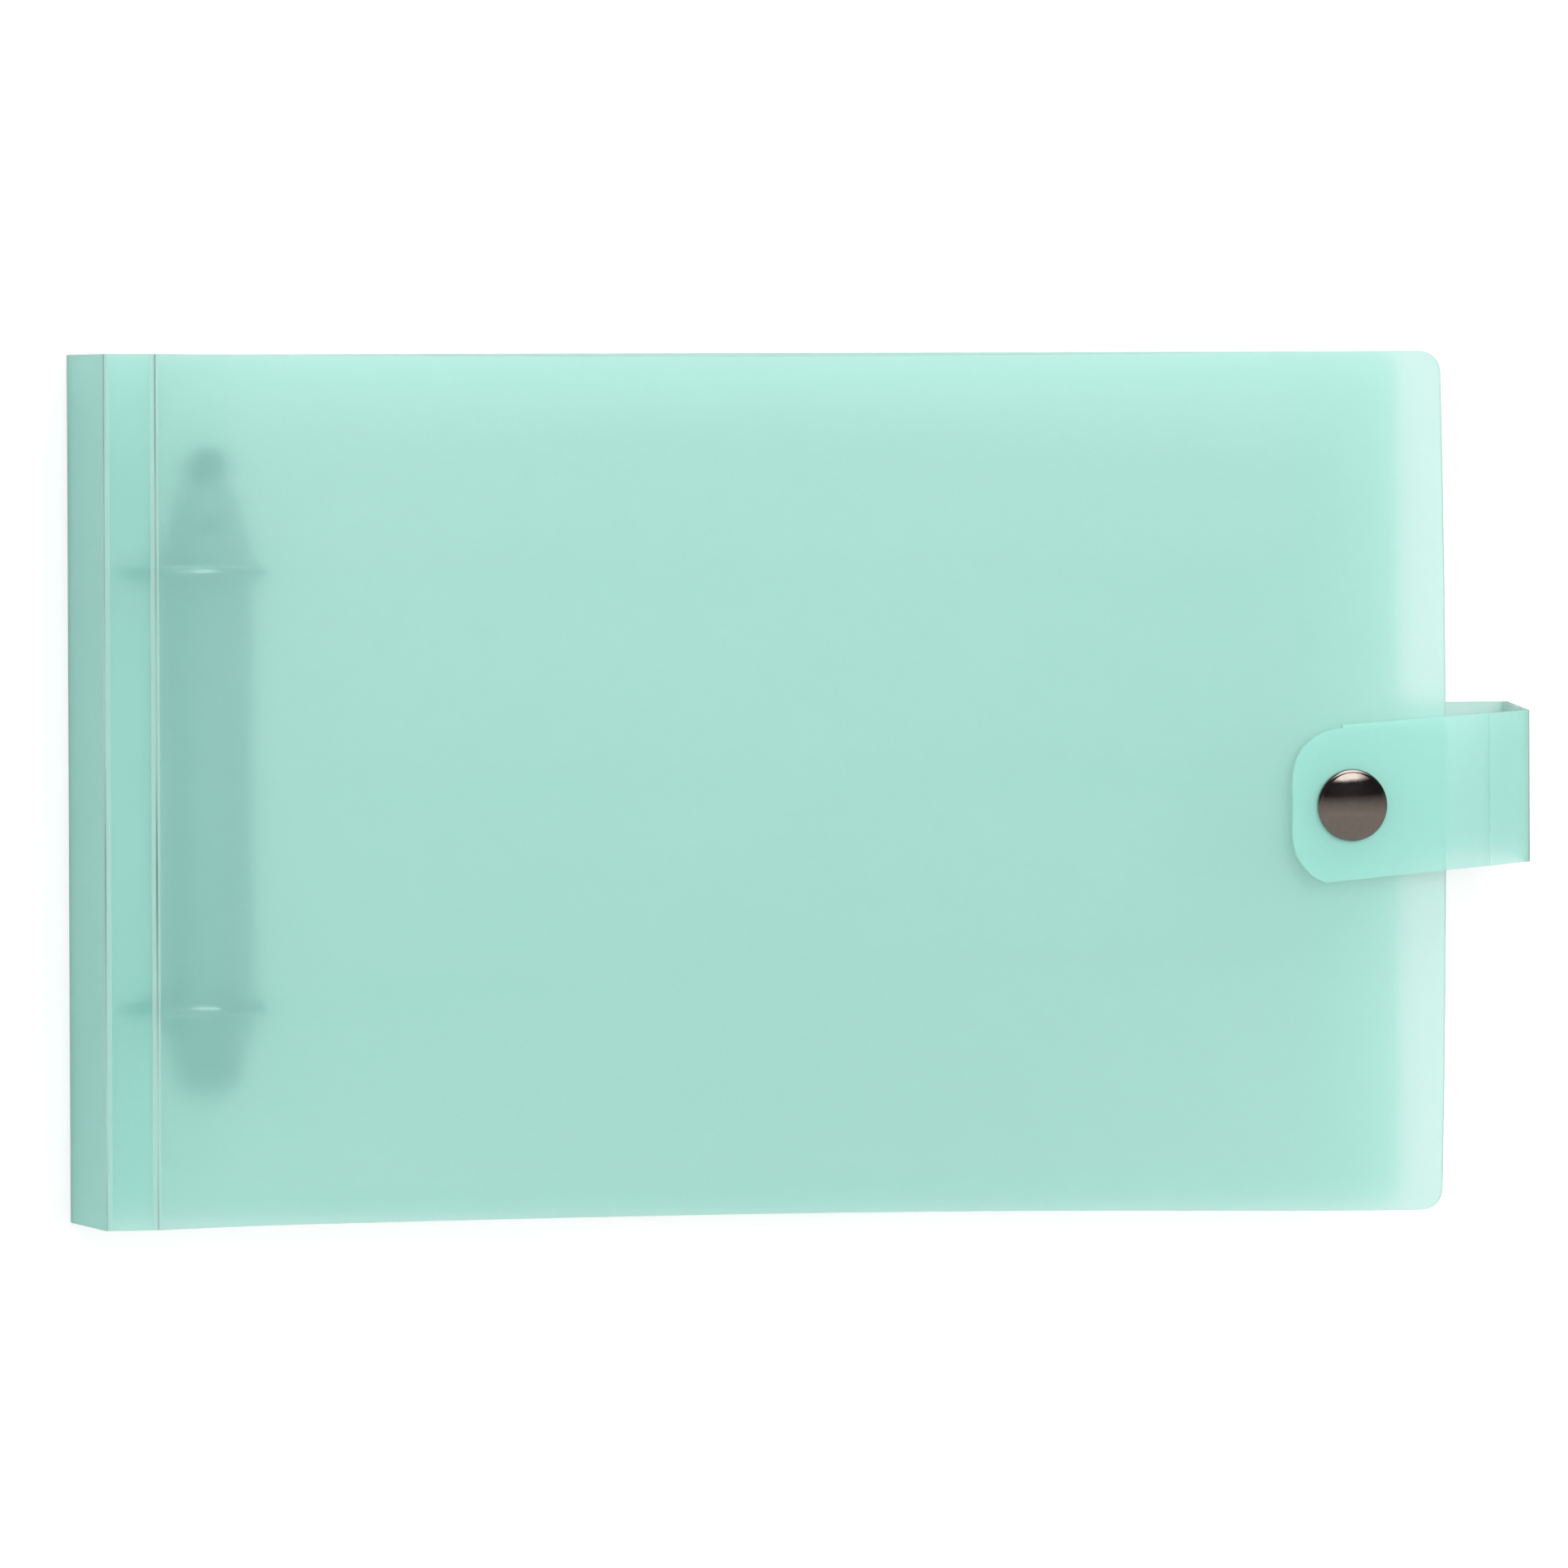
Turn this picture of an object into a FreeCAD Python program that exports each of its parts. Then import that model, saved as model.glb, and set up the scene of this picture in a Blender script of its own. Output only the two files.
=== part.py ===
import FreeCAD, Part
import math
import os
from FreeCAD import Vector

# Landscape ring album in frosted polypropylene sheet, shut and lying on its back cover.
# The spine is at -X, the strap at +X and the table at Z = 0. Sizes are in millimetres.
# While it is modelled, X counts from the outer face of the spine. Saving a piece moves
# it so that the origin lies under the middle of the whole album.

# Cover sheet
sheet = 0.8               # thickness of the polypropylene sheet
cover_length = 254.0      # outer face of the spine to the free edge of each cover
cover_height = 160.0
album_depth = 34.0        # outside, across the spine
corner_radius = 4.0       # free corners of the covers
second_crease = 9.4       # outer face of the spine to the second crease of the front cover
crease_gap = 0.15         # slit between two panels that fold
# How far the top and bottom edges of the front cover droop below its middle line:
# the share of the panel's length from the second crease, and the droop there.
front_droop = ((0.0, 0.0), (0.05, 4.2), (0.15, 7.0), (0.35, 9.4),
               (0.55, 10.0), (0.75, 7.9), (0.9, 4.0), (1.0, 3.4))
droop_points = 7          # points across the cover that carry its curve

# Strap
strap_width = 28.2
strap_run = 21.1          # free edge of the back cover to the strap's lower crease
strap_lean = 6.3          # the upper crease stands this far inboard of the lower one
strap_wall_drift = 1.0    # sideways drift of the strap over its wall
flap_drift = 3.6          # sideways drift from the upper crease to the free end
flap_length = 45.3        # upper crease to the free end
flap_width = 29.2         # at the free end
flap_corner = 9.6
flap_score = 7.8          # upper crease to the score line across the flap
score_width = 0.8
score_depth = 0.3

# Snap fastener
snap_from_edge = 19.2     # centre to the free edge of the front cover
snap_aside = 0.6          # centre to the middle line of the flap
cap_radius = 6.7
cap_rim = 0.8
cap_dome = 2.1            # height of the cap above the flap, rim and dome together
cap_post_radius = 1.7
socket_radius = 5.2
socket_height = 2.1
socket_roof = 0.4
stud_flange_radius = 4.6
stud_flange = 0.5
stud_neck_radius = 2.1
stud_bulb_radius = 2.5
stud_neck = 1.2           # height of the neck's top above the front cover
stud_height = 2.2
post_head = 0.6
post_radius = 1.5
post_reach = 0.9          # above the face of the front cover
snap_play = 0.4           # round the bulb of the stud
snap_lift = 0.3           # under the socket
fit_gap = 0.05            # fixed shanks and posts in their holes
curve_gap = 0.08          # flat snap post under the slightly curved cover

# Ring mechanism
housing_centre = 25.4     # outer face of the spine to the middle of the housing
housing_width = 16.8
housing_length = 113.6
housing_height = 7.0
housing_side = 3.0        # height of its side walls, below the arch
plate = 0.8               # sheet steel
end_width = 12.0          # of the narrow rounded ends
shoulder = 45.0           # middle of the album to the start of the shoulders
shoulder_run = 3.0
lip_width = 1.3           # turned-in edge under the blades
lip_height = 0.5
rivet_at = 50.0           # middle of the album to each rivet
rivet_radius = 1.6
rivet_head_radius = 3.2
rivet_head = 1.1
rivet_foot_radius = 4.0
rivet_foot = 0.35
rivet_seat = 0.4          # depth of the pressed seat in the back cover
seat_gap = 0.1
blade = 0.6
blade_half_length = 44.0
blade_gap = 0.1           # each blade to the middle plane, and to the side wall
ring_pitch = 80.0         # two-hole filing pitch
ring_radius = 12.3        # middle of the wire
wire_radius = 1.35
ring_centre = 20.3        # outer face of the spine to the middle of the rings
leg_angle = 50.0          # below level, where the right half ring turns down into the housing
stake_radius = 1.0
ring_lift = 0.15          # the wire's underside above its blade
notch_gap = 0.45          # round the wires where they pass through the housing
notch_inset = 0.7         # the left notch starts this far above the foot of the housing
notch_sill = 2.4          # the right notch starts this far above the foot of the housing
left_notch_end = 3.2      # middle of the housing to the end of the left notch
# Opening lever
lever_at = 53.4           # middle of the album to the lever's pin
lever_axis_height = 1.7   # above the back cover
lever_plate = 1.0
lever_neck_width = 4.8
lever_paddle_radius = 4.2
lever_reach = 10.0        # pin to the tip of the paddle
lever_paddle_start = 4.4  # pin to the straight inner edge of the paddle
lever_rise = 20.0         # degrees that the paddle stands up at rest
lever_tail = 1.4
lever_bush_radius = 1.3
lever_pin_radius = 0.6
lever_pin_length = 9.6
lever_slot_gap = 0.5
pin_fit = 0.05

# Clear leaves on the rings
leaf_count = 3
leaf_length = 210.0
leaf_height = 148.0
leaf = 0.3
leaf_gap = 0.3
leaf_hole_radius = 3.2
leaf_hole_inset = 8.0     # binding edge to the middle of the holes
leaf_corner = 3.0
strips = 4                # pocket strips on each leaf
strip = 0.15
strip_height = 31.0
strip_start = 18.0        # binding edge to the strips
strip_end = 4.0           # strips to the outer edge

# Places that follow from the sizes above
half_height = cover_height / 2
half_sheet = sheet / 2
strap_reach = cover_length + strap_run        # outer face of the spine to the strap's lower crease
middle = (strap_reach + half_sheet) / 2
front_start = second_crease + half_sheet + crease_gap
front_length = cover_length - front_start
flap_under = album_depth + stud_flange + snap_lift + socket_height
flap_level = flap_under + half_sheet
flap_top = flap_under + sheet
upper_crease = strap_reach - strap_lean
snap_x = cover_length - snap_from_edge
snap_y = -strap_wall_drift - flap_drift * (upper_crease - snap_x) / flap_length - snap_aside
foot = sheet                                  # the housing stands on the back cover
housing_top = foot + housing_height
blade_level = foot + lip_height + fit_gap + blade / 2
blade_top = blade_level + blade / 2
pivot_inset = housing_width / 2 - plate - blade_gap - blade / 2
ring_level = blade_top + ring_lift + wire_radius + ring_radius
ring_places = {"upper": ring_pitch / 2, "lower": -ring_pitch / 2}
lever_level = foot + lever_axis_height


def box(x0, x1, y0, y1, z0, z1):
    return Part.makeBox(x1 - x0, y1 - y0, z1 - z0, Vector(x0, y0, z0))


def upright(x, y, radius, z0, z1):
    """A round bar along Z."""
    return Part.makeCylinder(radius, z1 - z0, Vector(x, y, z0))


def prism(points, z0, z1):
    """A straight-sided solid on an outline given as (x, y) corners."""
    corners = [Vector(x, y, z0) for x, y in points]
    return Part.Face(Part.makePolygon(corners + corners[:1])).extrude(Vector(0, 0, z1 - z0))


def turned(x, y, edges):
    """A turned solid about the upright line through x, y. Its half section is drawn in the XZ plane."""
    solid = Part.Face(Part.Wire(edges)).revolve(Vector(), Vector(0, 0, 1), 360)
    solid.translate(Vector(x, y, 0))
    return solid


def outline(points):
    """Straight edges through (radius, height) points, left open."""
    corners = [Vector(r, 0, z) for r, z in points]
    return [Part.makeLine(a, b) for a, b in zip(corners, corners[1:])]


def dome(radius, low, high):
    """The arc of a ball-shaped crown, from its rim at radius and low to its top on the turning axis."""
    rise = high - low
    ball = (radius ** 2 + rise ** 2) / (2 * rise)
    mid = radius / 2
    bulge = high - ball + math.sqrt(ball ** 2 - mid ** 2)
    return Part.Arc(Vector(radius, 0, low), Vector(mid, 0, bulge), Vector(0, 0, high)).toShape()


def panel(x, z, angle, length, start, end, far_bead=False):
    """A sheet that folds at a crease. A half-round bead lies on the crease, at x and z, and the
    sheet runs from it at an angle above +X. start and end give its middle in Y and its width."""
    h = half_sheet
    edges = [Part.Arc(Vector(0, 0, h), Vector(-h, 0, 0), Vector(0, 0, -h)).toShape()]
    edges += outline([(0, -h), (length, -h)])
    if far_bead:
        crest = Vector(length + h, 0, 0)
        edges.append(Part.Arc(Vector(length, 0, -h), crest, Vector(length, 0, h)).toShape())
    else:
        edges += outline([(length, -h), (length, h)])
    edges += outline([(length, h), (0, h)])
    bar = Part.Face(Part.Wire(edges)).extrude(Vector(0, 2 * cover_height, 0))
    bar.translate(Vector(0, -cover_height, 0))
    (y0, w0), (y1, w1) = start, end
    grow = (y1 - y0) / length, (w1 - w0) / length
    plan = []
    for at, side in ((-h, -1), (length + h, -1), (length + h, 1), (-h, 1)):
        plan.append((at, y0 + grow[0] * at + side * (w0 + grow[1] * at) / 2))
    bar = bar.common(prism(plan, -sheet, sheet))
    bar.rotate(Vector(), Vector(0, 1, 0), -angle)
    bar.translate(Vector(x, 0, z))
    return bar


def outside_corner(x, y, side, radius, z0, z1):
    """The waste outside a rounded free corner at x, y. side is +1 or -1 along Y."""
    low, high = sorted((y - side * radius, y + side * radius))
    square = box(x - radius, x + radius, low, high, z0, z1)
    return square.cut(upright(x - radius, y - side * radius, radius, z0, z1))


def back_cover():
    cover = box(sheet + crease_gap, cover_length, -half_height, half_height, 0, sheet)
    for side in (1, -1):
        waste = outside_corner(cover_length, side * half_height, side, corner_radius, -sheet, 2 * sheet)
        hole = upright(housing_centre, side * rivet_at, rivet_radius + fit_gap, -sheet, 2 * sheet)
        seat = upright(housing_centre, side * rivet_at, rivet_foot_radius + seat_gap, -sheet, rivet_seat)
        cover = cover.cut([waste, hole, seat])
    return cover


def spine_panel():
    length = album_depth - sheet - crease_gap - half_sheet
    return panel(half_sheet, half_sheet, 90, length, (0, cover_height), (0, cover_height))


def front_hinge_strip():
    length = second_crease - half_sheet
    level = album_depth - half_sheet
    return panel(half_sheet, level, 0, length, (0, cover_height), (0, cover_height), far_bead=True)


def bowed_half_height(droop):
    """Half the height of a sheet that keeps its length along the bow when its edges droop."""
    return half_height - 2 * droop ** 2 / (3 * half_height)


def front_cover():
    """A sheet bowed across its height: straight at the crease, with drooping long edges."""
    rows = []
    for share, droop in front_droop:
        half = bowed_half_height(droop)
        row = []
        for k in range(droop_points):
            across = 2 * k / (droop_points - 1) - 1
            level = album_depth - droop * across ** 2
            row.append(Vector(front_start + share * front_length, half * across, level))
        rows.append(row)
    surface = Part.BSplineSurface()
    surface.interpolate(rows)
    cover = surface.toShape().extrude(Vector(0, 0, -sheet))
    end_droop = front_droop[-1][1]
    edge = bowed_half_height(end_droop)
    low, high = album_depth - 2 * end_droop - 2 * sheet, album_depth + sheet
    for side in (1, -1):
        cover = cover.cut(outside_corner(cover_length, side * edge, side, corner_radius, low, high))
    return cover.cut(upright(snap_x, snap_y, post_radius + fit_gap, low, high))


def strap_base():
    half = strap_width / 2
    return box(cover_length, strap_reach - half_sheet - crease_gap, -half, half, 0, sheet)


def strap_wall():
    rise = flap_level - half_sheet
    run = math.hypot(strap_lean, rise)
    angle = 90 + math.degrees(math.atan2(strap_lean, rise))
    length = run - half_sheet - crease_gap
    drift = -strap_wall_drift * length / run
    return panel(strap_reach, half_sheet, angle, length, (0, strap_width), (drift, strap_width))


def strap_flap():
    start = (-strap_wall_drift, strap_width)
    end = (-strap_wall_drift - flap_drift, flap_width)
    flap = panel(upper_crease, flap_level, 180, flap_length, start, end)
    tip = upper_crease - flap_length
    low, high = flap_under - sheet, flap_top + sheet
    for side in (1, -1):
        waste = outside_corner(-tip, -end[0] + side * flap_width / 2, side, flap_corner, low, high)
        waste.rotate(Vector(), Vector(0, 0, 1), 180)
        flap = flap.cut(waste)
    score_x = upper_crease - flap_score - score_width / 2
    score = box(score_x, score_x + score_width, -strap_width, strap_width, flap_top - score_depth, high)
    hole = upright(snap_x, snap_y, cap_post_radius + fit_gap, low, high)
    return flap.cut([score, hole])


def snap_cap():
    rim, crown = flap_top + cap_rim, flap_top + cap_dome
    edges = outline([(0, crown), (0, flap_under), (cap_post_radius, flap_under), (cap_post_radius, flap_top)])
    edges += outline([(cap_post_radius, flap_top), (cap_radius, flap_top), (cap_radius, rim)])
    edges.append(dome(cap_radius, rim, crown))
    return turned(snap_x, snap_y, edges)


def snap_socket():
    bore = stud_bulb_radius + snap_play
    mouth, roof = flap_under - socket_height, flap_under - socket_roof
    points = [(0, flap_under), (socket_radius, flap_under), (socket_radius, mouth)]
    points += [(bore, mouth), (bore, roof), (0, roof)]
    return turned(snap_x, snap_y, outline(points + points[:1]))


def snap_stud():
    low = album_depth
    bore = post_radius + fit_gap
    points = [(bore, low), (stud_flange_radius, low), (stud_flange_radius, low + stud_flange)]
    points += [(stud_neck_radius, low + stud_flange), (stud_neck_radius, low + stud_neck)]
    points += [(stud_bulb_radius, low + stud_neck), (stud_bulb_radius, low + stud_height)]
    points += [(0, low + stud_height), (0, low + post_reach + fit_gap), (bore, low + post_reach + fit_gap)]
    return turned(snap_x, snap_y, outline(points + points[:1]))


def snap_post():
    top = album_depth - sheet - curve_gap
    head = upright(snap_x, snap_y, stud_flange_radius, top - post_head, top)
    return head.fuse(upright(snap_x, snap_y, post_radius, top, album_depth + post_reach)).removeSplitter()


def housing_plan(inset, z0, z1):
    """The housing seen from above: wide in the middle, shouldered, with narrow round ends."""
    wide, narrow = housing_width / 2 - inset, end_width / 2 - inset
    straight = housing_length / 2 - end_width / 2
    neck = shoulder + shoulder_run
    quarter = [(wide, shoulder), (narrow, neck), (narrow, straight)]
    upper = quarter + [(-x, y) for x, y in reversed(quarter)]
    plan = prism(upper + [(-x, -y) for x, y in upper], z0, z1)
    for at in (straight, -straight):
        plan = plan.fuse(upright(0, at, narrow, z0, z1))
    plan.translate(Vector(housing_centre, 0, 0))
    return plan.removeSplitter()


def housing_arch(inset):
    """The bowed section of the housing, drawn out along Y."""
    half, side, top = housing_width / 2 - inset, housing_side - inset, housing_height - inset
    edges = outline([(-half, side), (-half, -inset), (half, -inset), (half, side)])
    edges.append(Part.Arc(Vector(half, 0, side), Vector(0, 0, top), Vector(-half, 0, side)).toShape())
    arch = Part.Face(Part.Wire(edges)).extrude(Vector(0, housing_length, 0))
    arch.translate(Vector(housing_centre, -housing_length / 2, foot))
    return arch


def ring_housing():
    housing = housing_arch(0).common(housing_plan(0, foot, housing_top))
    hollow = housing_arch(plate).common(housing_plan(plate, foot - plate, housing_top))
    housing = housing.cut(hollow)
    wall = housing_width / 2 - plate
    for side in (1, -1):
        edge = sorted((housing_centre + side * wall, housing_centre + side * (wall - lip_width)))
        lip = box(edge[0], edge[1], -blade_half_length, blade_half_length, foot, foot + lip_height)
        hole = upright(housing_centre, side * rivet_at, rivet_radius + fit_gap, foot, housing_top + plate)
        housing = housing.fuse(lip).cut(hole)
    leg_x = ring_centre + ring_radius * math.cos(math.radians(leg_angle))
    slot = wire_radius + notch_gap
    for y in ring_places.values():
        left = box(housing_centre - housing_width, housing_centre - left_notch_end, y - slot, y + slot,
                   foot + notch_inset, housing_top + plate)
        right = box(leg_x - slot, housing_centre + housing_width, y - slot, y + slot,
                    foot + notch_sill, housing_top + plate)
        housing = housing.cut(left).cut(right)
    half_slot = lever_neck_width / 2 + lever_slot_gap
    mouth = box(housing_centre - half_slot, housing_centre + half_slot, lever_at + lever_bush_radius,
                housing_length, foot - plate, housing_top - plate)
    pin_start = Vector(housing_centre - housing_width / 2, lever_at, lever_level)
    pin_hole = Part.makeCylinder(lever_pin_radius + fit_gap, housing_width, pin_start, Vector(1, 0, 0))
    return housing.cut(mouth).cut(pin_hole).removeSplitter()


def rivet(y):
    crown = housing_top + rivet_head
    lip = rivet_seat - rivet_foot
    points = [(0, crown), (0, lip), (rivet_foot_radius, lip), (rivet_foot_radius, rivet_seat)]
    points += [(rivet_radius, rivet_seat), (rivet_radius, housing_top), (rivet_head_radius, housing_top)]
    edges = outline(points)
    edges.append(dome(rivet_head_radius, housing_top, crown))
    return turned(housing_centre, y, edges)


def ring_blade(side):
    """One of the two flat rails in the housing. Its outer edge is a bead that it turns on."""
    length = pivot_inset - blade_gap
    h = blade / 2
    edges = [Part.Arc(Vector(0, 0, h), Vector(-h, 0, 0), Vector(0, 0, -h)).toShape()]
    edges += outline([(0, -h), (length, -h), (length, h), (0, h)])
    rail = Part.Face(Part.Wire(edges)).extrude(Vector(0, 2 * blade_half_length, 0))
    rail.translate(Vector(0, -blade_half_length, 0))
    if side > 0:
        rail.rotate(Vector(), Vector(0, 0, 1), 180)
    rail.translate(Vector(housing_centre + side * pivot_inset, 0, blade_level))
    return rail


def half_ring(side, y):
    """Half a ring in round wire, split at the top. The left half runs under into the housing's side
    and is staked to its blade. The right half turns down through the housing's top."""
    centre = Vector(ring_centre, y, ring_level)
    torus = Part.makeTorus(ring_radius, wire_radius, centre, Vector(0, 1, 0))
    big = 2 * (ring_radius + wire_radius)
    span = y - 2 * wire_radius, y + 2 * wire_radius
    if side < 0:
        above = box(ring_centre, ring_centre + big, *span, ring_level, ring_level + big)
        below = box(ring_centre + wire_radius, ring_centre + big, *span, ring_level - big, ring_level)
        stake = upright(ring_centre, y, stake_radius, blade_top, ring_level - ring_radius)
        return torus.cut(above).cut(below).fuse(stake).removeSplitter()
    turn = math.radians(leg_angle)
    end = Vector(ring_centre + ring_radius * math.cos(turn), y, ring_level - ring_radius * math.sin(turn))
    wire = torus.common(box(ring_centre, ring_centre + big, *span, ring_level - big, ring_level + big))
    beyond = big * 2
    wedge = [(0, 0), (beyond * math.cos(turn), -beyond * math.sin(turn)), (0, -beyond)]
    corners = [Vector(ring_centre + x, span[0], ring_level + z) for x, z in wedge]
    cutter = Part.Face(Part.makePolygon(corners + corners[:1])).extrude(Vector(0, span[1] - span[0], 0))
    leg = upright(end.x, y, wire_radius, blade_top, end.z)
    return wire.cut(cutter).fuse([Part.makeSphere(wire_radius, end), leg]).removeSplitter()


def opening_lever():
    """A bent plate on a cross pin at the upper end of the housing. Pressing its paddle opens the rings."""
    reach = lever_reach - lever_paddle_radius
    half = lever_neck_width / 2
    neck = box(-half, half, -lever_tail, reach, -lever_plate / 2, lever_plate / 2)
    paddle = upright(0, reach, lever_paddle_radius, -lever_plate / 2, lever_plate / 2)
    beyond = box(-lever_reach, lever_reach, lever_paddle_start, 2 * lever_reach, -lever_plate, lever_plate)
    side = Vector(-half, 0, 0)
    bush = Part.makeCylinder(lever_bush_radius, lever_neck_width, side, Vector(1, 0, 0))
    bore = Part.makeCylinder(lever_pin_radius + pin_fit, lever_neck_width, side, Vector(1, 0, 0))
    lever = neck.fuse([paddle.common(beyond), bush]).cut(bore).removeSplitter()
    lever.rotate(Vector(), Vector(1, 0, 0), lever_rise)
    lever.translate(Vector(housing_centre, lever_at, lever_level))
    return lever


def lever_pin():
    start = Vector(housing_centre - lever_pin_length / 2, lever_at, lever_level)
    return Part.makeCylinder(lever_pin_radius, lever_pin_length, start, Vector(1, 0, 0))


leaf_hole = ring_radius + leaf_hole_radius - wire_radius - leaf_gap
leaf_start = leaf_hole - leaf_hole_inset
leaf_end = leaf_start + leaf_length
leaf_step = leaf + strip + leaf_gap
lowest_leaf = -leaf_step * (leaf_count - 1) / 2
leaf_slope = math.degrees(math.asin((ring_level - sheet - leaf_gap + lowest_leaf - leaf / 2) / leaf_end))


def lay_on_rings(shape):
    """Tips a leaf drawn level about the middle of the rings until its outer edge meets the back cover."""
    shape.rotate(Vector(), Vector(0, 1, 0), leaf_slope)
    shape.translate(Vector(ring_centre, 0, ring_level))
    return shape


def clear_leaf(number):
    low = lowest_leaf + number * leaf_step - leaf / 2
    under, over = low - leaf, low + 2 * leaf
    edge = leaf_height / 2
    film = box(leaf_start, leaf_end, -edge, edge, low, low + leaf)
    for side in (1, -1):
        film = film.cut(outside_corner(leaf_end, side * edge, side, leaf_corner, under, over))
    for y in ring_places.values():
        film = film.cut(upright(leaf_hole, y, leaf_hole_radius, under, over))
    return lay_on_rings(film)


def pocket_strips(number):
    low = lowest_leaf + number * leaf_step + leaf / 2
    pitch = leaf_height / strips
    first, last = leaf_start + strip_start, leaf_end - strip_end
    bands = []
    for k in range(strips):
        y = -leaf_height / 2 + pitch * k + (pitch - strip_height) / 2
        bands.append(box(first, last, y, y + strip_height, low, low + strip))
    return lay_on_rings(Part.makeCompound(bands))


def save(name, shape):
    shape.translate(Vector(-middle, 0, 0))
    shape.exportStep(f"parts/{name}.step")


os.makedirs("parts", exist_ok=True)
save("back_cover", back_cover())
save("spine_panel", spine_panel())
save("front_hinge_strip", front_hinge_strip())
save("front_cover", front_cover())
save("strap_base", strap_base())
save("strap_wall", strap_wall())
save("strap_flap", strap_flap())
save("snap_cap", snap_cap())
save("snap_socket", snap_socket())
save("snap_stud", snap_stud())
save("snap_post", snap_post())
save("ring_housing", ring_housing())
save("opening_lever", opening_lever())
save("lever_pin", lever_pin())
for place, y in (("upper", rivet_at), ("lower", -rivet_at)):
    save(f"rivet_{place}", rivet(y))
for hand, side in (("left", -1), ("right", 1)):
    save(f"ring_blade_{hand}", ring_blade(side))
    for place, y in ring_places.items():
        save(f"half_ring_{place}_{hand}", half_ring(side, y))
for number in range(leaf_count):
    save(f"leaf_{number + 1}", clear_leaf(number))
    save(f"leaf_{number + 1}_strips", pocket_strips(number))
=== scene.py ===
import math
import bmesh
import bpy
from mathutils import Matrix, Vector


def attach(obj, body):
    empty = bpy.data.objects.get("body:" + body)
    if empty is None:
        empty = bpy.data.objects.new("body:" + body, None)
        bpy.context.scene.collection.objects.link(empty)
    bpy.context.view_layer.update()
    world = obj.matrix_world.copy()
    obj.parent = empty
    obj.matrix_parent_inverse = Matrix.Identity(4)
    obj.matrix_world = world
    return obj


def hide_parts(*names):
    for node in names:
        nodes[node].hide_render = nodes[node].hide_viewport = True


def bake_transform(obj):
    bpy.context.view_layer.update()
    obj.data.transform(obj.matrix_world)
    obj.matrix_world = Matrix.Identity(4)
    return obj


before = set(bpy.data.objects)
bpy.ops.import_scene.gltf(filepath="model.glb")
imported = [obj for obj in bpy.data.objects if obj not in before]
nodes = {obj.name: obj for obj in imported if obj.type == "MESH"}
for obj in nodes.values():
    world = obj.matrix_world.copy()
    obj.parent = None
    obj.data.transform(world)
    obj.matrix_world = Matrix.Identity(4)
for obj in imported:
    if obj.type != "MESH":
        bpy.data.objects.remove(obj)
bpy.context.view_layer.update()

# Covers, spine and hinge strip: one frosted mint polypropylene sheet, cut and scored flat and then folded round.
# The sheet is calendered with a fine satin grain, so light passes through it scattered and what lies under it blurs.


class Shade:
    """A socket of one material. Arithmetic on it adds Math nodes, and node() adds any other node."""

    def __init__(self, tree, socket=None):
        self.tree = tree
        self.socket = socket

    def node(self, kind, inputs=None, output=0, **settings):
        made = self.tree.nodes.new(kind)
        ramp = settings.pop("ramp", None)
        for name, value in settings.items():
            setattr(made, name, value)
        if ramp:
            stops = made.color_ramp.elements
            while len(stops) < len(ramp):
                stops.new(1.0)
            for stop, (place, colour) in zip(stops, ramp):
                stop.position = place
                stop.color = (*colour, 1.0)
        for name, value in (inputs or {}).items():
            if isinstance(value, Shade):
                self.tree.links.new(value.socket, made.inputs[name])
            else:
                made.inputs[name].default_value = value
        return Shade(self.tree, made.outputs[output]) if len(made.outputs) else made

    def outputs(self, kind, inputs=None):
        """A new node's outputs by name, for a node of which more than one is used."""
        made = self.node(kind, inputs).socket.node
        return {socket.name: Shade(self.tree, socket) for socket in made.outputs}

    def math(self, operation, first, second):
        return self.node("ShaderNodeMath", {0: first, 1: second}, operation=operation)

    def __add__(self, other):
        return self.math("ADD", self, other)

    __radd__ = __add__

    def __sub__(self, other):
        return self.math("SUBTRACT", self, other)

    def __rsub__(self, other):
        return self.math("SUBTRACT", other, self)

    def __mul__(self, other):
        return self.math("MULTIPLY", self, other)

    __rmul__ = __mul__

    def mix(self, low, high):
        """A colour between two, by this value from 0 to 1."""
        first, second = [c if isinstance(c, Shade) else (*c, 1.0) for c in (low, high)]
        return self.node("ShaderNodeMix", {0: self, 6: first, 7: second}, output=2, data_type="RGBA")


def new_material(name):
    """An empty material: its start for nodes, and a call that closes it with one Principled surface."""
    made = bpy.data.materials.new(name)
    made.use_nodes = True
    tree = made.node_tree
    tree.nodes.clear()
    start = Shade(tree)

    def close(inputs):
        surface = start.node("ShaderNodeBsdfPrincipled", inputs)
        start.node("ShaderNodeOutputMaterial", {"Surface": surface})
        return made

    return start, close


def noise(start, scale, detail=2.0, rough=0.5, stretch=None):
    """Noise on the piece's own metres, from about 0 to 1. stretch scales it along X, Y and Z."""
    where = start.node("ShaderNodeTexCoord", output=3)
    if stretch:
        where = start.node("ShaderNodeMapping", {"Vector": where, "Scale": stretch})
    settings = {"Vector": where, "Scale": scale, "Detail": detail, "Roughness": rough}
    return start.node("ShaderNodeTexNoise", settings)


clouds_per_metre, grains_per_metre = 9.0, 1500.0
grain_depth, least_satin = 0.1, 0.37
pigment_ior, plastic_ior = 1.3, 1.2


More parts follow.
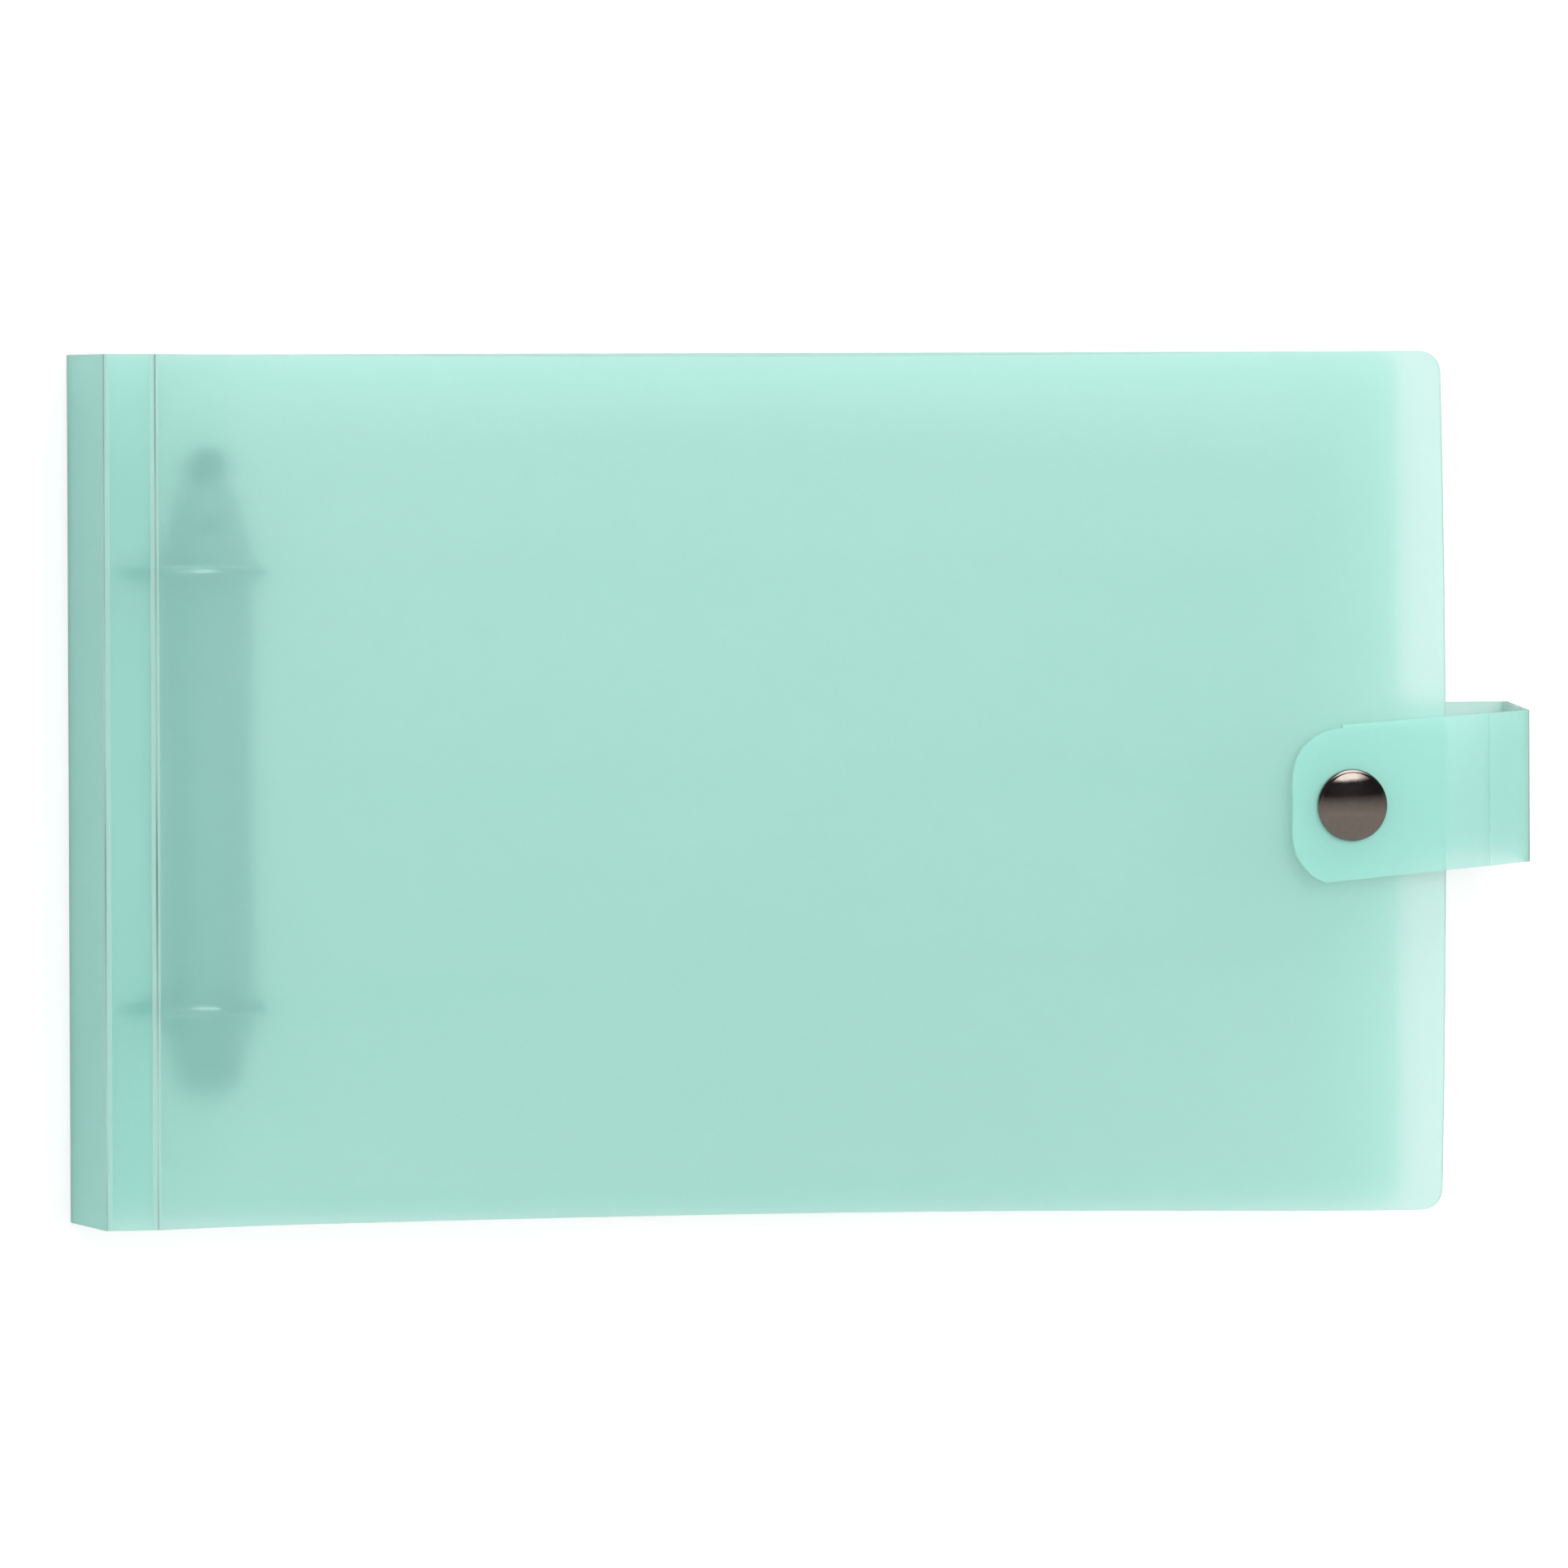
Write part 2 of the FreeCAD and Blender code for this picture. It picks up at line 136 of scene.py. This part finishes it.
def frosted_sheet(name, tint, deep_tint, glow_tint, pass_through):
    """Frosted sheet: pigment that throws back its cloudy tint, and clear plastic that lets light through scattered."""
    start, _ = new_material(name)
    cloud = noise(start, clouds_per_metre, 2.0)
    grain = noise(start, grains_per_metre, 1.0, 0.6)
    tone = start.node("ShaderNodeMapRange", {0: cloud, 1: 0.35, 2: 0.65})
    satin = grain * grain_depth + least_satin
    pigment = start.node("ShaderNodeBsdfPrincipled", {
        "Base Color": tone.mix(deep_tint, tint),
        "Roughness": satin,
        "IOR": pigment_ior,
    })
    plastic = start.node("ShaderNodeBsdfPrincipled", {
        "Base Color": (*glow_tint, 1.0),
        "Roughness": satin,
        "IOR": plastic_ior,
        "Transmission Weight": 1.0,
    })
    sheet = start.node("ShaderNodeMixShader", {0: pass_through, 1: pigment, 2: plastic})
    start.node("ShaderNodeOutputMaterial", {"Surface": sheet})
    return bpy.data.materials[name]


def finish(name, made):
    """Gives a CAD node its finish."""
    nodes[name].data.materials.clear()
    nodes[name].data.materials.append(made)


cover_glow = (0.97, 0.993, 0.97)
cover_sheet = frosted_sheet("frosted_cover_sheet", tint=(0.45, 0.93, 0.835), deep_tint=(0.42, 0.92, 0.82),
                            glow_tint=cover_glow, pass_through=0.72)
# The spine's copy of the sheet is painted light: a lighter, greener tint and more pigment than the covers' copy.
lit_spine_sheet = frosted_sheet("frosted_spine_sheet", tint=(0.43, 0.95, 0.85), deep_tint=(0.4, 0.94, 0.835),
                            glow_tint=cover_glow, pass_through=0.55)
# The hinge strip's copy of the sheet is painted shade: a darker tint and more pigment than the covers' copy.
shaded_strip_sheet = frosted_sheet("frosted_strip_sheet", tint=(0.36, 0.84, 0.75), deep_tint=(0.33, 0.83, 0.735),
                            glow_tint=cover_glow, pass_through=0.68)
for name in ("back_cover", "front_cover"):
    finish(name, cover_sheet)
finish("spine_panel", lit_spine_sheet)
finish("front_hinge_strip", shaded_strip_sheet)

# Living hinges of the covers: the sheet is scored and pressed thin along each fold, so a pale web is left there; the
# dark line along it is painted shade in the fold's groove.
# Each web lies along the fold between the two panels that it joins.


def add_piece(name, made, mesh):
    """A finished mesh as an object with its finish."""
    mesh.materials.append(made)
    piece = bpy.data.objects.new(name, mesh)
    bpy.context.scene.collection.objects.link(piece)
    return piece


black, white = (0, 0, 0), (1, 1, 1)
# The pale colour is the pressed sheet's own whitening; the dark colour is painted shade in the fold's groove.
pressed_pale, painted_groove_shade = (0.74, 0.955, 0.91), (0.16, 0.29, 0.28)
groove_shade_line = [(0.5, black), (0.53, white), (0.7, white), (0.73, black)]


def crease_finish(name):
    """Pressed sheet: pale and clear, with a dark line of painted shade in the groove that comes and goes along the
    fold.
    """
    start, close = new_material(name)
    across = start.node("ShaderNodeAttribute", output=2, attribute_name="across")
    along = noise(start, 1.0, 1.0, 0.5, (1.0, 22.0, 1.0))
    # This line is painted shade in the fold's groove.
    line = start.node("ShaderNodeValToRGB", {0: across}, ramp=groove_shade_line)
    pressed = start.node("ShaderNodeMapRange", {0: along, 1: 0.3, 2: 0.75})
    return close({
        "Base Color": (line * pressed).mix(pressed_pale, painted_groove_shade),
        "Roughness": pressed * 0.1 + 0.35,
        "IOR": plastic_ior,
        "Transmission Weight": 0.7,
    })


crease_sheet = crease_finish("pressed_crease")
web_thick, web_end_share, web_steps = 0.00008, 0.3, 48
web_edge_angle = math.radians(50)


def crease_web(name, path, low, high):
    """A thin web along Y over a fold. path is its inner line in X and Z; low and high are its two ends."""
    count = len(path)
    ends = [path[0]] + list(path) + [path[-1]]
    outer = []
    for k in range(count):
        run = (Vector(ends[k + 2]) - Vector(ends[k])).normalized()
        swell = web_thick * (1.0 if 0 < k < count - 1 else web_end_share)
        outer.append(Vector(path[k]) + Vector((-run.y, run.x)) * swell)
    ring = [Vector(point) for point in path] + outer[::-1]
    built = bmesh.new()
    shares = built.verts.layers.float.new("across")
    rows = []
    for step in range(web_steps + 1):
        y = low + (high - low) * step / web_steps
        row = []
        for k, point in enumerate(ring):
            vert = built.verts.new((point.x, y, point.y))
            vert[shares] = (k if k < count else 2 * count - 1 - k) / (count - 1)
            row.append(vert)
        rows.append(row)
    for first, second in zip(rows, rows[1:]):
        for k in range(len(ring)):
            n = (k + 1) % len(ring)
            built.faces.new((first[k], first[n], second[n], second[k]))
    built.faces.new(rows[0][::-1])
    built.faces.new(rows[-1])
    bmesh.ops.recalc_face_normals(built, faces=built.faces)
    mesh = bpy.data.meshes.new(name)
    built.to_mesh(mesh)
    built.free()
    mesh.shade_smooth()
    mesh.set_sharp_from_angle(angle=web_edge_angle)
    piece = add_piece(name, crease_sheet, mesh)
    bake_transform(piece)


fold_radius, fold_steps = 0.00041, 8


def fold_path(centre, first, last, run):
    """A line round a fold: straight for run, round the fold's centre from one angle to the other, straight again."""
    turns = [math.radians(first + (last - first) * k / fold_steps) for k in range(fold_steps + 1)]
    points = [(centre[0] + fold_radius * math.cos(t), centre[1] + fold_radius * math.sin(t)) for t in turns]
    side = 1 if last > first else -1
    way_in = Vector((math.sin(turns[0]), -math.cos(turns[0]))) * side
    way_out = Vector((-math.sin(turns[-1]), math.cos(turns[-1]))) * side
    return [tuple(Vector(points[0]) + way_in * run)] + points + [tuple(Vector(points[-1]) + way_out * run)]


edge_y = 0.0799
spine_x, hinge_x, roof_z, low_z = -0.13735, -0.12835, 0.0336, 0.0004
crease_web("crease_back_spine", fold_path((spine_x, low_z), 270, 180, 0.0007), -edge_y, edge_y)
crease_web("crease_spine_strip", fold_path((spine_x, roof_z), 180, 90, 0.0008), -edge_y, edge_y)
top_z = roof_z + fold_radius
flat_web = [(hinge_x + 0.0002 * k - 0.0007, top_z) for k in range(9)]
crease_web("crease_strip_front", flat_web, -edge_y, edge_y)

# Ring mechanism: housing, rails, lever, pin and rivets pressed from steel strip with a satin plating; its dark teal
# colour is painted shade and a painted reflection of the mint sheet.
# The housing stands on the back cover and two rivets clamp it there.


def plated_steel(name, colour, dull, polish, haze, scratch_along=(1.0, 1.0, 1.0)):
    """Plated metal: fine drawing lines, stretched along one axis if told so, and a little clouding."""
    start, close = new_material(name)
    lines = noise(start, 900.0, 3.0, 0.6, scratch_along)
    cloud = noise(start, 60.0, 3.0)
    wear = start.node("ShaderNodeMapRange", {0: lines * 0.5 + cloud * 0.5, 1: 0.35, 2: 0.65})
    return close({
        "Base Color": wear.mix(dull, colour),
        "Metallic": 1.0,
        "Roughness": wear * haze + polish,
        "Normal": start.node("ShaderNodeBump", {"Strength": 0.06, "Distance": 0.0001, "Height": lines}),
    })


# Dark teal colours: painted shade under the cover and a painted reflection of the mint sheet round the steel.
teal_shaded_steel = plated_steel("satin_strip_steel", colour=(0.22, 0.3, 0.315), dull=(0.18, 0.25, 0.265),
                           polish=0.44, haze=0.12, scratch_along=(1.0, 0.06, 1.0))
for name in ("ring_housing", "ring_blade_left", "ring_blade_right", "opening_lever", "lever_pin",
             "rivet_upper", "rivet_lower"):
    finish(name, teal_shaded_steel)

# Rings: round wire with the same plating, polished by use; their dark teal colour is painted shade and a painted
# reflection of the mint sheet, as on the housing.
# Each ring is two halves that are staked to the rails and meet at the top.
# Dark teal colours: painted shade and a painted reflection of the mint sheet.
teal_shaded_wire = plated_steel("satin_ring_wire", colour=(0.3, 0.35, 0.35), dull=(0.25, 0.3, 0.3), polish=0.1, haze=0.08)
for place in ("upper", "lower"):
    for hand in ("left", "right"):
        finish(f"half_ring_{place}_{hand}", teal_shaded_wire)

# Leaves: clear polypropylene film, punched for the rings, with clear pocket strips welded on.
# Three of them hang on the rings, one above the other.


def clear_film(name, tint, solid):
    """Clear film: almost no body, a glossy skin with slight waves from the roller."""
    start, close = new_material(name)
    wave = noise(start, 40.0, 1.0, 0.5, (0.2, 1.0, 1.0))
    haze = noise(start, 500.0, 2.0)
    return close({
        "Base Color": haze.mix(tint, (0.99, 0.998, 0.995)),
        "Roughness": haze * 0.1 + 0.08,
        "Alpha": solid,
        "Normal": start.node("ShaderNodeBump", {"Strength": 0.1, "Distance": 0.0004, "Height": wave}),
    })


leaf_numbers = (1, 2, 3)
film_tint = (0.97, 0.99, 0.985)
leaf_film = clear_film("clear_leaf_film", film_tint, solid=0.024)
pocket_film = clear_film("clear_pocket_film", film_tint, solid=0.018)
for number in leaf_numbers:
    finish(f"leaf_{number}", leaf_film)
    finish(f"leaf_{number}_strips", pocket_film)

# Welds: a row of small ribs along the closed edge of every pocket strip, pressed by the welding tool.
# Geometry Nodes sets the ribs on a grid of points, one row to a strip, and lays the rows on the leaf's slope.


def weld_tree():
    """A node tree that sets low ribs in rows, tips them to the leaf's slope and gives them their finish."""
    tree = bpy.data.node_groups.new("weld_rows", "GeometryNodeTree")
    kinds = {"Ribs": "Int", "Rows": "Int", "Length": "Float", "Height": "Float", "Rib": "Vector", "Middle": "Vector",
             "Slope": "Vector", "Place": "Vector", "Seed": "Int", "Finish": "Material"}
    names = {}
    for name, kind in kinds.items():
        made = tree.interface.new_socket(name, in_out="INPUT", socket_type="NodeSocket" + kind)
        names[name] = made.identifier
    tree.interface.new_socket("Geometry", in_out="OUTPUT", socket_type="NodeSocketGeometry")
    given = tree.nodes.new("NodeGroupInput").outputs
    step = Shade(tree)
    value = {name: Shade(tree, given[name]) for name in kinds}
    grid = step.node("GeometryNodeMeshGrid", {
        "Size X": value["Length"],
        "Size Y": value["Height"],
        "Vertices X": value["Ribs"],
        "Vertices Y": value["Rows"],
    })
    bead = step.node("GeometryNodeMeshUVSphere", {"Segments": 8, "Rings": 5, "Radius": 1.0})
    spread = {2: 0.85, 3: 1.15, "Seed": value["Seed"]}
    vary = step.node("FunctionNodeRandomValue", spread, output=1, data_type="FLOAT")
    size = step.node("ShaderNodeVectorMath", {0: value["Rib"], "Scale": vary}, operation="SCALE")
    rows = step.node("GeometryNodeInstanceOnPoints", {"Points": grid, "Instance": bead, "Scale": size})
    solid = step.node("GeometryNodeRealizeInstances", {"Geometry": rows})
    level = step.node("GeometryNodeTransform", {"Geometry": solid, "Translation": value["Middle"]})
    tip = {"Geometry": level, "Rotation": value["Slope"], "Translation": value["Place"]}
    tipped = step.node("GeometryNodeTransform", tip)
    done = step.node("GeometryNodeSetMaterial", {"Geometry": tipped, "Material": value["Finish"]})
    end = tree.nodes.new("NodeGroupOutput")
    tree.links.new(done.socket, end.inputs["Geometry"])
    return tree, names


weld_film = clear_film("welded_film", (0.93, 0.97, 0.96), solid=0.45)
weld_rows, weld_inputs = weld_tree()
leaf_slope = math.radians(3.652)
lowest_weld, leaf_step = -0.00045, 0.00075
for number in leaf_numbers:
    holder = bpy.data.objects.new("weld_holder", bpy.data.meshes.new("weld_holder"))
    bpy.context.scene.collection.objects.link(holder)
    setter = holder.modifiers.new("weld_rows", "NODES")
    setter.node_group = weld_rows
    settings = {
        "Ribs": 62,
        "Rows": 4,
        "Length": 0.184,
        "Height": 0.111,
        "Rib": (0.0011, 0.0003, 0.00008),
        "Middle": (0.11785, -0.0147, lowest_weld + leaf_step * (number - 1)),
        "Slope": (0.0, leaf_slope, 0.0),
        "Place": (-0.11745, 0.0, 0.01575),
        "Seed": number,
        "Finish": weld_film,
    }
    for name, given in settings.items():
        setter[weld_inputs[name]] = given
    bpy.context.view_layer.update()
    ready = holder.evaluated_get(bpy.context.evaluated_depsgraph_get())
    mesh = bpy.data.meshes.new_from_object(ready)
    mesh.name = f"leaf_{number}_welds"
    bpy.data.objects.remove(holder)
    mesh.materials.clear()
    mesh.shade_smooth()
    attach(add_piece(f"leaf_{number}_welds", weld_film, mesh), f"leaf_{number}")

# Strap: the same sheet as the covers, cut in one with the back cover, scored and folded up and over.
# Its two folds have webs of the same kind as the covers'.
# The strap's copy of the sheet is painted light: a paler tint than the covers' copy.
lit_strap_sheet = frosted_sheet("frosted_strap_sheet", tint=(0.54, 0.995, 0.915), deep_tint=(0.51, 0.99, 0.9),
                            glow_tint=(0.985, 0.993, 0.975), pass_through=0.72)
# The flap's copy of the sheet is painted shade: a deeper tint than the strap's, where the flap lies over the cover.
shaded_flap_sheet = frosted_sheet("frosted_flap_sheet", tint=(0.46, 0.985, 0.885), deep_tint=(0.43, 0.975, 0.87),
                           glow_tint=(0.975, 0.993, 0.975), pass_through=0.7)
for name in ("strap_base", "strap_wall"):
    finish(name, lit_strap_sheet)
finish("strap_flap", shaded_flap_sheet)

wall_x = 0.13735
lift_x, lift_z = 0.13105, 0.0373
crease_web("crease_back_strap", fold_path((wall_x, low_z), 270, 370, 0.0006), -0.0140, 0.0140)
crease_web("crease_strap_flap", fold_path((lift_x, lift_z), 10, 90, 0.0006), -0.0150, 0.0130)

# Snap fastener: drawn brass with gunmetal plating, polished on the cap. The cap's post is set into the socket
# through the flap, and the post under the front cover is set into the stud.
cap_metal = plated_steel("gunmetal_cap", colour=(0.25, 0.23, 0.215), dull=(0.22, 0.2, 0.19), polish=0.05, haze=0.05)
snap_metal = plated_steel("gunmetal_snap", colour=(0.3, 0.29, 0.285), dull=(0.24, 0.23, 0.23), polish=0.28, haze=0.14)


def lathe(name, profile, centre, made, turns=96):
    """A closed turned piece about Z from its profile of radius and height, which starts and ends on the axis."""
    angles = [2 * math.pi * k / turns for k in range(turns)]
    built = bmesh.new()
    rings = []
    for radius, z in profile:
        if radius == 0:
            rings.append([built.verts.new((centre[0], centre[1], z))])
            continue
        points = [(centre[0] + radius * math.cos(a), centre[1] + radius * math.sin(a), z) for a in angles]
        rings.append([built.verts.new(point) for point in points])
    for first, second in zip(rings, rings[1:]):
        for k in range(turns):
            n = (k + 1) % turns
            corners = [first[k % len(first)], first[n % len(first)], second[n % len(second)], second[k % len(second)]]
            built.faces.new(list(dict.fromkeys(corners)))
    bmesh.ops.recalc_face_normals(built, faces=built.faces)
    mesh = bpy.data.meshes.new(name)
    built.to_mesh(mesh)
    built.free()
    mesh.shade_smooth()
    mesh.set_sharp_from_angle(angle=math.radians(40))
    return add_piece(name, made, mesh)


cap_centre = (0.09705, -0.0043)
cap_low, cap_seat, cap_crown = 0.0369, 0.0377, 0.0398
cap_reach, cap_ball, cap_shoulder, cap_post = 0.0067, 0.0179, 0.0006, 0.0017
crown_steps, shoulder_steps = 24, 8
cap_lines = [(0.0, cap_crown)]
for step in range(1, crown_steps + 1):
    radius = (cap_reach - cap_shoulder) * step / crown_steps
    cap_lines.append((radius, cap_crown - cap_ball + math.sqrt(cap_ball ** 2 - radius ** 2)))
shoulder_z = cap_lines[-1][1] - cap_shoulder * 0.94
for step in range(1, shoulder_steps + 1):
    turn = math.radians(20 + 70 * step / shoulder_steps)
    across = cap_reach - cap_shoulder + cap_shoulder * math.sin(turn)
    cap_lines.append((across, shoulder_z + cap_shoulder * math.cos(turn)))
cap_lines += [
    (cap_reach, cap_seat + 0.00025),
    (cap_reach - 0.00008, cap_seat + 0.00008),
    (cap_reach - 0.00025, cap_seat),
    (cap_post, cap_seat),
    (cap_post, cap_low),
    (0.0, cap_low),
]
cap = lathe("domed_cap", cap_lines, cap_centre, cap_metal)
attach(cap, "strap_flap")
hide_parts("snap_cap")
for name in ("snap_socket", "snap_stud", "snap_post"):
    finish(name, snap_metal)

# Table: a plain pale sweep of paper, shown white to the camera and a little less so through sheet and in metal.
# It lies a hair under the album, so that the two don't share a face.
bpy.ops.mesh.primitive_plane_add(size=6.0, location=(0, 0, -0.0004))
floor = bpy.context.object
floor.name = "floor"
floor_white = bpy.data.materials.new("white_sweep")
floor_white.use_nodes = True
floor_white.node_tree.nodes.clear()
paper = Shade(floor_white.node_tree)
camera_glow, sheet_glow = 0.56, 0.33
paper_rays = paper.outputs("ShaderNodeLightPath")
paper_glow = paper_rays["Is Camera Ray"] * camera_glow
for ray in ("Is Glossy Ray", "Is Transmission Ray"):
    paper_glow = paper.math("MAXIMUM", paper_glow, paper_rays[ray] * sheet_glow)
matt = paper.node("ShaderNodeBsdfDiffuse", {"Color": (0.55, 0.55, 0.55, 1.0)})
glow = paper.node("ShaderNodeEmission", {"Color": (1.0, 1.0, 1.0, 1.0), "Strength": paper_glow})
both = paper.node("ShaderNodeAddShader", {0: matt, 1: glow})
paper.node("ShaderNodeOutputMaterial", {"Surface": both})
floor.data.materials.append(floor_white)

# Light: a soft key patch high over the lever's corner, a fill on the spine's side and a pale sky, all in the world.
# Metal mirrors a plain room with one window in its place, and the camera sees white.
world = bpy.data.worlds.new("soft_room")
world.use_nodes = True
world.node_tree.nodes.clear()
room = Shade(world.node_tree)
rays = room.outputs("ShaderNodeLightPath")
mirrored = rays["Is Glossy Ray"] * (1.0 - rays["Is Transmission Ray"])
heading = room.node("ShaderNodeTexCoord", output=0)


def light_patch(place, edge, core, strength):
    """A soft round patch of light. edge and core are cosines of the angles at which it starts and is full."""
    near = {0: heading, 1: Vector(place).normalized()}
    facing = room.node("ShaderNodeVectorMath", near, output=1, operation="DOT_PRODUCT")
    fade = {0: facing, 1: edge, 2: core, 3: 0.0, 4: strength}
    return room.node("ShaderNodeMapRange", fade, interpolation_type="SMOOTHSTEP")


key_light = light_patch((0.2, 0.5, 1.5), 0.88, 0.97, 4.0)
fill_light = light_patch((-0.92, 0.0, 0.4), 0.5, 0.95, 0.6)
toward = room.outputs("ShaderNodeSeparateXYZ", {0: heading})
along_y = toward["Y"] * 0.5 + 0.5
along_x = toward["X"] * 0.5 + 0.5
sky_low, sky_high = 0.22, 0.6
sky = room.node("ShaderNodeMapRange", {0: toward["Z"], 1: 0.0, 2: 1.0, 3: sky_low, 4: sky_high})
window_bright, window_dark = (3.8, 3.6, 3.4), (0.08, 0.076, 0.074)
walls = [
    (0.0, (0.6, 0.56, 0.52)),
    (0.41, (0.72, 0.66, 0.6)),
    (0.5, (0.5, 0.45, 0.42)),
    (0.59, (0.05, 0.046, 0.046)),
    (0.72, (0.04, 0.036, 0.036)),
]
lit = room.node("ShaderNodeValToRGB", {0: along_y}, ramp=walls + [(0.75, window_bright), (1.0, window_bright)])
unlit = room.node("ShaderNodeValToRGB", {0: along_y}, ramp=walls + [(0.75, window_dark), (1.0, window_dark)])
window_width = [(0.38, black), (0.5, white), (0.66, white), (0.8, black)]
window = room.node("ShaderNodeValToRGB", {0: along_x}, ramp=window_width)
around = mirrored.mix(white, window.mix(unlit, lit))
lit_level = mirrored + (1.0 - mirrored) * (sky + key_light + fill_light)
shown = rays["Is Camera Ray"]
level = shown + (1.0 - shown) * lit_level
backdrop = room.node("ShaderNodeBackground", {"Color": around, "Strength": level})
room.node("ShaderNodeOutputWorld", {"Surface": backdrop})
scene = bpy.context.scene
scene.world = world

# Camera: far off and long, a little to the spine's side of straight above, as the object was taken.
# Its place, turn and lens were fitted to the album's outline, creases, snap and rings.
view_target = Vector((-0.01275, 0.0, 0.017))
view_offset = Vector((0.00634, 0.00017, 3.069))
view_turn = Matrix.Identity(3)
for degrees, axis in ((-13.50, "Y"), (-1.27, "X"), (-0.21, "Z")):
    view_turn = view_turn @ Matrix.Rotation(math.radians(degrees), 3, axis)
lens = bpy.data.cameras.new("camera")
lens.sensor_width = 36.0
lens.lens = 380.67
lens.clip_end = 20.0
camera = bpy.data.objects.new("camera", lens)
camera.matrix_world = Matrix.Translation(view_target + view_turn @ view_offset) @ view_turn.to_4x4()
scene.collection.objects.link(camera)
scene.camera = camera

# Render settings: colours as they are written, and enough bounces for light to get through the sheets and leaves.
scene.view_settings.view_transform = "Standard"
scene.cycles.max_bounces = 12
scene.cycles.transmission_bounces = 12
scene.cycles.transparent_max_bounces = 64
